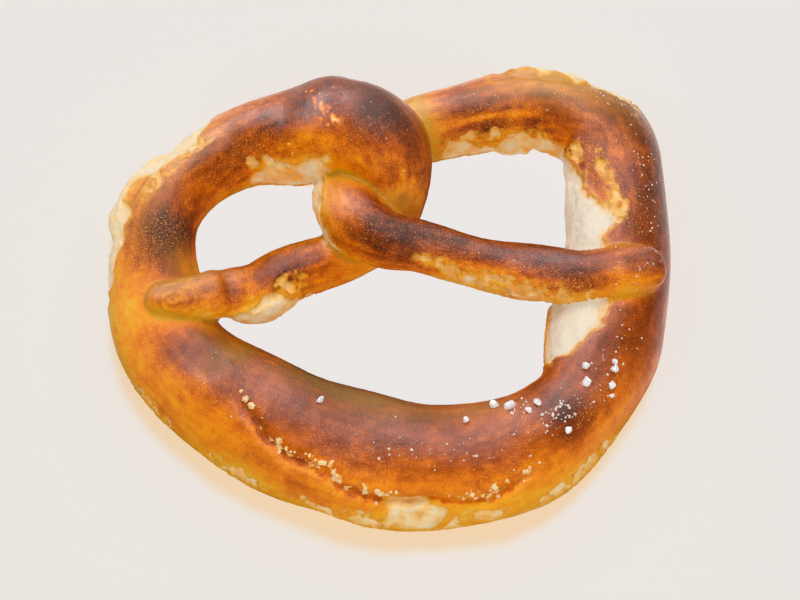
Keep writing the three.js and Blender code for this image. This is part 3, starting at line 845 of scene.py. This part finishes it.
draw = random.Random(salt["seed"])
grains = []
for x, y, size in salt["coarse"]:
    grain = lumpyGrain(size * mm, salt, draw)
    placeVertices(grain, vertexPlaces(grain) + crustBelow(x, y) + (0, 0, salt["proud"] * size * mm))
    grains.append(grain)
coarseSalt = joinGrains("coarse_salt", grains)


def scatter(pieceName, look, draw):  # small grains over stretches of the rope
    grains = []
    for name, start, end, low, high, count, small, large in look["stretches"]:
        for _ in range(count):
            spot = draw.uniform(start, end)
            around = draw.gauss((low + high) / 2, (high - low) / 4)
            if look["onCut"]:
                around += float(cutAngle(spot))
            place = aboveRope(name, np.array(spot), np.array(around), grainShape["dropped"])
            rest, normal, face, gap = crustTree.find_nearest(Vector(place))
            size = small + (large - small) * draw.random() ** grainShape["mostlySmall"]
            grain = lumpyGrain(size * mm, look, draw)
            placeVertices(grain, vertexPlaces(grain) + np.array(rest + normal * (look["proud"] * size * mm)))
            grains.append(grain)
    return joinGrains(pieceName, grains)


fineSaltLook = {
    "stretches": [  # strand, along from and to, angle from and to, how many, smallest and largest in millimetres
        ("loop", 229, 239, 82, 108, 30, 0.5, 1.2), ("loop", 222, 256, 60, 112, 40, 0.4, 1.1),
        ("loop", 222, 230, 110, 132, 16, 0.5, 1.2), ("loop", 176, 222, 66, 112, 34, 0.4, 1.0),
        ("loop", 284, 342, 36, 84, 60, 0.35, 0.7), ("loop", 256, 284, 50, 100, 24, 0.35, 0.8),
        ("loop", 345, 380, 70, 120, 10, 0.35, 0.55), ("leftArm", 6, 14, 100, 124, 5, 0.35, 0.6),
        ("leftArm", 16, 30, 80, 130, 4, 0.35, 0.5), ("rightArm", 40, 100, 40, 120, 16, 0.35, 0.55),
        ("loop", 120, 175, 60, 120, 12, 0.35, 0.6),
    ],
    "onCut": False, "detail": 1, "facets": 6, "lumpy": 0.2, "proud": 0.15, "seed": 3,
}
crumbsLook = {
    "stretches": [
        ("loop", 139, 144, 0, 7, 6, 0.8, 2.0), ("loop", 154, 161, 0, 7, 8, 0.8, 2.0),
        ("loop", 164, 177, 0, 7, 14, 0.8, 2.2), ("loop", 180, 189, 0, 7, 8, 0.8, 1.8),
        ("loop", 204, 221, 0, 8, 14, 0.7, 1.8),
    ],
    "onCut": True, "detail": 2, "facets": 5, "lumpy": 0.5, "proud": -0.1, "seed": 5,
}
fineSalt = scatter("fine_salt", fineSaltLook, random.Random(fineSaltLook["seed"]))
crumbs = scatter("crumbs", crumbsLook, random.Random(crumbsLook["seed"]))


finishes = {  # noise size, detail and roughness, colours by the noise, then gloss roughness, ior and bump
    "salt": ((0.5 * mm, 3, 0.6), [(0.3, (0.8, 0.76, 0.74)), (0.65, (0.95, 0.94, 0.93))], 0.35, 1.54, 0.6),
    "fine salt": ((0.5 * mm, 3, 0.6), [(0.3, (0.72, 0.54, 0.4)), (0.65, (0.92, 0.85, 0.78))], 0.6, 1.3, 0.6),
    "crumbs": ((1.4 * mm, 2, 0.6), [(0.35, (0.88, 0.5, 0.12)), (0.6, (0.93, 0.72, 0.4))], 0.9, 1.5, 0),
}


def grainMaterial(name, noise, colours, rough, ior, bump):
    material, tree, shader = newMaterial(name)
    patchy = grainNoise(tree, objectCoords(tree), *noise)
    feed(tree, shader.inputs["Base Color"], colourRamp(tree, patchy, colours))
    shader.inputs["Roughness"].default_value = rough
    shader.inputs["IOR"].default_value = ior
    if bump:
        addBump(tree, shader, patchy, bump, 0.1 * mm)
    return material


for piece, finish in ((coarseSalt, "salt"), (fineSalt, "fine salt"), (crumbs, "crumbs")):
    dress(piece, grainMaterial(finish, *finishes[finish]))
    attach(piece, "root")


# stage, light and camera
stage = {"floorSize": 8.0, "floorColour": (0.42, 0.3, 0.3), "floorGlow": (0.622, 0.533, 0.35), "floorGloss": 0.3,
         "floorIor": 1.5, "innerGlow": (0.825, 0.797, 0.785), "innerPoints": 90, "innerTuck": 0.3,
         "innerLift": 0.03 * mm, "world": 0.5}
lamps = {  # height and turn in degrees, distance, size, radiance, colour, lights by reflection, lights evenly
    "softbox": (62, -4, 1.25, (1.15, 0.72), 3.6, (0.97, 0.97, 1), True, True),
    "glint": (62, -4, 1.25, (1.15, 0.7), 8.5, (0.95, 0.93, 1), True, False),
    "leftPanel": (34, -44, 1.4, (1.2, 0.7), 11.0, (0.95, 0.93, 1), True, False),
    "highPanel": (29, -4, 1.4, (1.5, 0.6), 7.2, (0.95, 0.93, 1), True, False),
    "lowPanel": (9, -10, 1.6, (2.8, 0.45), 1.8, (0.95, 0.95, 1), True, False),
    "fill": (27, 172, 1.4, (1.8, 1.0), 1.35, (1, 0.98, 0.95), False, True),
}
cards = {  # white cards that lie beside the pretzel: x, y, turn, size, radiance
    "rightCard": (0.305, 0.04, 0, (0.44, 0.34), 1.3),
    "backCard": (0.02, 0.29, 0, (0.5, 0.44), 1.3),
    "leftCard": (-0.18, 0.205, 38.7, (0.3, 0.4), 0.8),
}
skyPanel = {"place": (0.3, 0.84, 4.0), "size": (0.8, 0.8), "radiance": 78, "colour": (0.0, 0.45, 1.0)}


def paintGlowing(thing, name, colour, glow):  # a floor that glows faintly, and isn't mirrored in the crust
    material, tree, shader = newMaterial(name)
    shader.inputs["Base Color"].default_value = (*colour, 1)
    shader.inputs["Emission Color"].default_value = (*glow, 1)
    shader.inputs["Emission Strength"].default_value = 1
    dress(thing, material)
    thing.visible_glossy = False
    return shader


bpy.ops.mesh.primitive_plane_add(size=stage["floorSize"], location=(0, 0, 0))
floor = bpy.context.active_object
floor.name = "floor"
shader = paintGlowing(floor, "white acrylic", stage["floorColour"], stage["floorGlow"])
shader.inputs["Roughness"].default_value = stage["floorGloss"]
shader.inputs["IOR"].default_value = stage["floorIor"]

# a brighter floor under the loop, so no shade lies in the holes
points = stage["innerPoints"]
bpy.ops.mesh.primitive_circle_add(vertices=points, radius=0.01, fill_type="NGON", location=(0, 0, 0))
innerFloor = bpy.context.active_object
innerFloor.name = "inner_floor"
spots = np.linspace(0, strands["loop"]["length"], points)
middle, ahead, outward, upward, wide, tall = ropeAt(strands["loop"], spots)
underLoop = (middle - outward * (stage["innerTuck"] * wide)[:, None]) * mm
underLoop[:, 2] = stage["innerLift"]
placeVertices(innerFloor, underLoop)
paintGlowing(innerFloor, "lit acrylic", (0, 0, 0), stage["innerGlow"])

world = bpy.data.worlds.new("soft room")
world.use_nodes = True
background = world.node_tree.nodes["Background"]
background.inputs["Color"].default_value = (1, 1, 1, 1)
background.inputs["Strength"].default_value = stage["world"]
world.cycles_visibility.glossy = False
bpy.context.scene.world = world

# the lamps light the pretzel, and the sky panel lights the floor
litByLamps = bpy.data.collections.new("lit by the lamps")
for piece in (dough, coarseSalt, fineSalt, crumbs):
    litByLamps.objects.link(piece)
litBySky = bpy.data.collections.new("lit by the sky panel")
litBySky.objects.link(floor)


def hangLamp(name, place, towards, size, radiance, colour, reflected, even, lit):
    bpy.ops.object.light_add(type="AREA", location=place)
    lamp = bpy.context.active_object
    lamp.name = name
    lamp.rotation_euler = Vector(towards).to_track_quat("Z", "Y").to_euler()
    lamp.data.shape = "RECTANGLE"
    lamp.data.size, lamp.data.size_y = size
    lamp.data.energy = radiance * math.pi * size[0] * size[1]
    lamp.data.color = colour
    lamp.visible_camera = False
    lamp.visible_glossy = reflected
    lamp.visible_diffuse = even
    lamp.light_linking.receiver_collection = lit


for name, (height, turn, away, size, radiance, colour, reflected, even) in lamps.items():
    up, sideways = math.radians(height), math.radians(turn)
    towards = Vector((math.sin(sideways) * math.cos(up), math.cos(sideways) * math.cos(up), math.sin(up)))
    hangLamp(name, towards * away, towards, size, radiance, colour, reflected, even, litByLamps)
for name, (x, y, turn, size, radiance) in cards.items():
    hangLamp(name, (x, y, mm), (0, 0, -1), size, radiance, (1, 1, 1), True, False, litByLamps)
    bpy.context.active_object.rotation_euler = (math.pi, 0, math.radians(turn))
hangLamp("skyPanel", skyPanel["place"], skyPanel["place"], skyPanel["size"], skyPanel["radiance"],
         skyPanel["colour"], False, True, litBySky)

view = {"aim": (3.32 * mm, -2.39 * mm, 12 * mm), "away": 0.5523, "elevation": 70, "lens": 85, "sensor": 36}
cameraData = bpy.data.cameras.new("camera")
cameraData.lens = view["lens"]
cameraData.sensor_width = view["sensor"]
camera = bpy.data.objects.new("camera", cameraData)
bpy.context.scene.collection.objects.link(camera)
tilt = math.radians(view["elevation"])
camera.location = Vector(view["aim"]) + view["away"] * Vector((0, -math.cos(tilt), math.sin(tilt)))
camera.rotation_euler = (math.radians(90) - tilt, 0, 0)
bpy.context.scene.camera = camera
bpy.context.scene.view_settings.view_transform = "Standard"
bpy.context.scene.view_settings.look = "None"

print("stage set")
